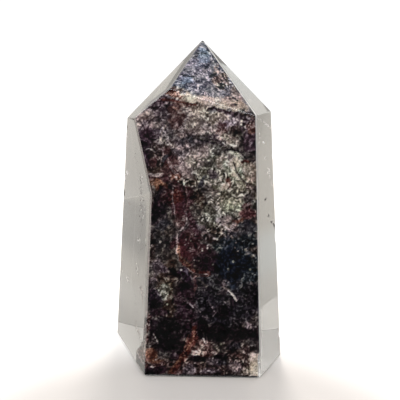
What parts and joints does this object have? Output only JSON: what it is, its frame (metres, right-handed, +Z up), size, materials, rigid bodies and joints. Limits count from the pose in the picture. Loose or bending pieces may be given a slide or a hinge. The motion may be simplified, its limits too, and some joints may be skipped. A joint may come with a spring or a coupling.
{
  "type": "polished garden quartz point",
  "caption": "Free-standing polished quartz tower with flat-ground sides and a faceted tip; a dark mineral garden fills the clear crystal behind its front face.",
  "frame": {"origin": "middle of the base, on the surface that the point stands on", "axes": "+Z up from the base towards the tip; the broad front face, where the garden shows, looks along -Y; +X is to the right of a viewer facing it"},
  "size_m": [0.049, 0.046, 0.0883],
  "materials": {
    "clear_quartz": "polished, clear, index of refraction 1.544, with faint veils and small edge chips",
    "garden_minerals": "matt mottled minerals: iron-stained maroon and orange, chlorite green, blue-black and cream specks"
  },
  "bodies": {
    "root": {"quartz": "clear_quartz", "garden": "garden_minerals"}
  },
  "joints": []
}
